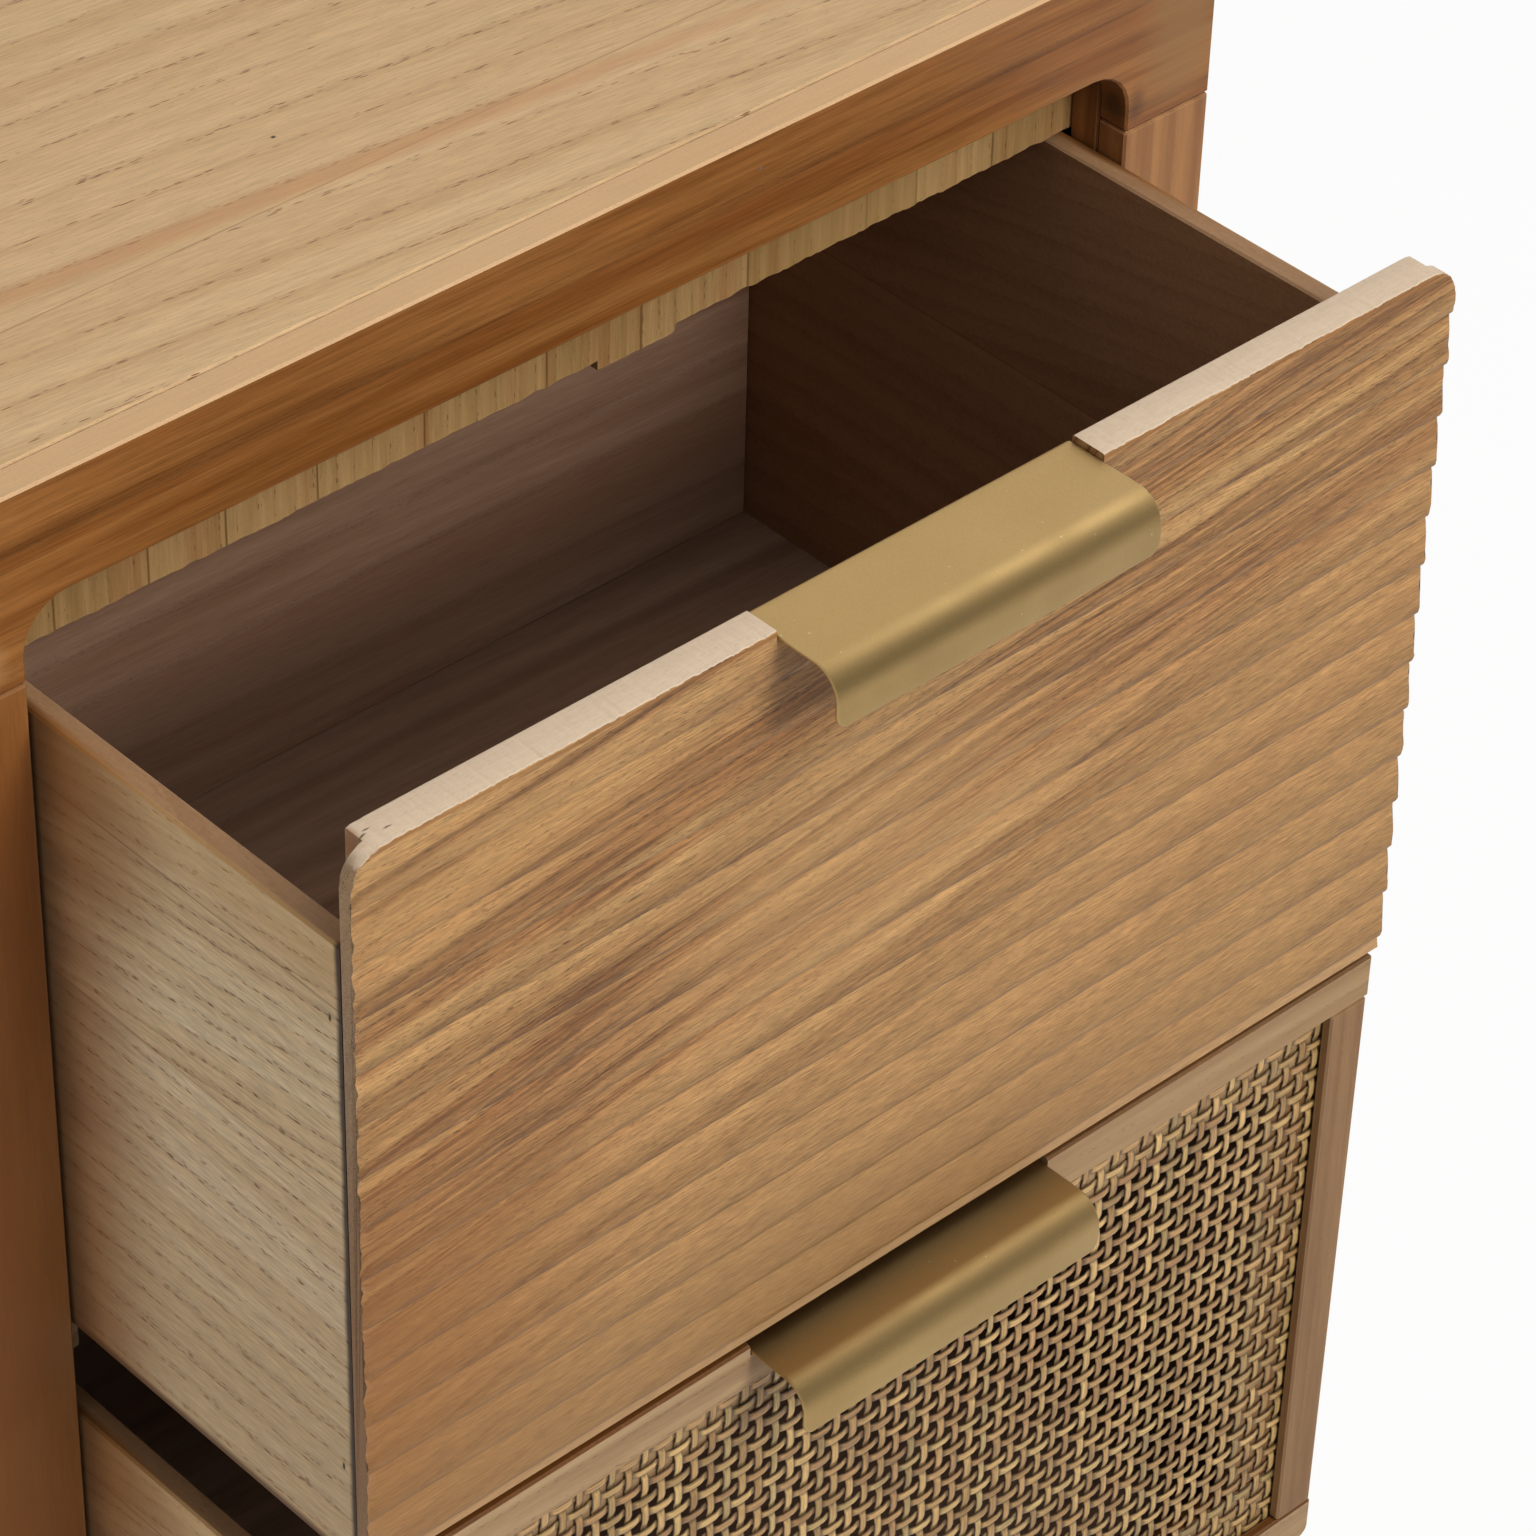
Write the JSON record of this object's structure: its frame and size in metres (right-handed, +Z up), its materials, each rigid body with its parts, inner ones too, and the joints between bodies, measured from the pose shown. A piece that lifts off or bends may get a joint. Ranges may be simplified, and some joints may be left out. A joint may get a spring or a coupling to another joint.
{
  "type": "nightstand",
  "caption": "Wooden nightstand with a ribbed upper drawer and a caned lower drawer that slide out on wooden runners, brass edge pulls and short tapered legs.",
  "frame": {"origin": "on the floor, under the middle of the bounding box with both drawers open as pictured", "axes": "+Z up; the front with the drawers faces -Y; +X is to the right of a person who faces the front"},
  "size_m": [0.508, 0.5206, 0.69],
  "materials": {
    "top_wood": "clear-coated open-grain wood",
    "frame_wood": "stained open-grain wood",
    "panel_wood": "stained open-grain wood",
    "inner_wood": "sawn, unfinished wood",
    "batten_wood": "rough-sawn wood",
    "ribbed_front_wood": "clear-coated open-grain wood",
    "cane_frame_wood": "clear-coated open-grain wood",
    "backing_wood": "sawn, unfinished wood",
    "drawer_side_wood": "pale unstained wood",
    "drawer_lining_wood": "dark unlacquered wood",
    "cane": "woven rattan cane, unlacquered",
    "brass": "satin lacquered brass sheet"
  },
  "bodies": {
    "carcass": {"top_panel": "top_wood", "front_top_rail": "frame_wood", "front_bottom_rail": "frame_wood", "front_post_left": "frame_wood", "front_post_right": "frame_wood", "leg_front_left": "frame_wood", "leg_front_right": "frame_wood", "leg_rear_left": "frame_wood", "leg_rear_right": "frame_wood", "side_panel_left": "panel_wood", "side_panel_right": "panel_wood", "bottom_panel": "panel_wood", "back_panel": "panel_wood", "front_cleat_left": "inner_wood", "front_cleat_right": "inner_wood", "rear_cleat_left": "inner_wood", "rear_cleat_right": "inner_wood", "runner_upper_left": "inner_wood", "runner_upper_right": "inner_wood", "runner_lower_left": "inner_wood", "runner_lower_right": "inner_wood", "guide_upper_left": "inner_wood", "guide_upper_right": "inner_wood", "guide_lower_left": "inner_wood", "guide_lower_right": "inner_wood", "stop_upper_left": "inner_wood", "stop_upper_right": "inner_wood", "stop_lower_left": "inner_wood", "stop_lower_right": "inner_wood", "kicker_left": "inner_wood", "kicker_right": "inner_wood", "cross_batten": "batten_wood"},
    "upper_drawer": {"upper_front": "ribbed_front_wood", "upper_side_left": "drawer_side_wood", "upper_side_right": "drawer_side_wood", "upper_back": "drawer_lining_wood", "upper_bottom": "drawer_lining_wood", "upper_pull": "brass"},
    "lower_drawer": {"lower_front_top_rail": "cane_frame_wood", "lower_front_bottom_rail": "cane_frame_wood", "lower_front_stile_left": "cane_frame_wood", "lower_front_stile_right": "cane_frame_wood", "cane_panel": "cane", "backing_top": "backing_wood", "backing_bottom": "backing_wood", "backing_stile_left": "backing_wood", "backing_stile_right": "backing_wood", "lower_side_left": "drawer_side_wood", "lower_side_right": "drawer_side_wood", "lower_back": "drawer_lining_wood", "lower_bottom": "drawer_lining_wood", "lower_pull": "brass"}
  },
  "joints": [
    {"name": "upper_drawer_slide", "type": "slide", "parent": "carcass", "child": "upper_drawer", "axis": [0, -1, 0], "range_m": [-0.14, 0.06]},
    {"name": "lower_drawer_slide", "type": "slide", "parent": "carcass", "child": "lower_drawer", "axis": [0, -1, 0], "range_m": [-0.1375, 0.0625]}
  ]
}
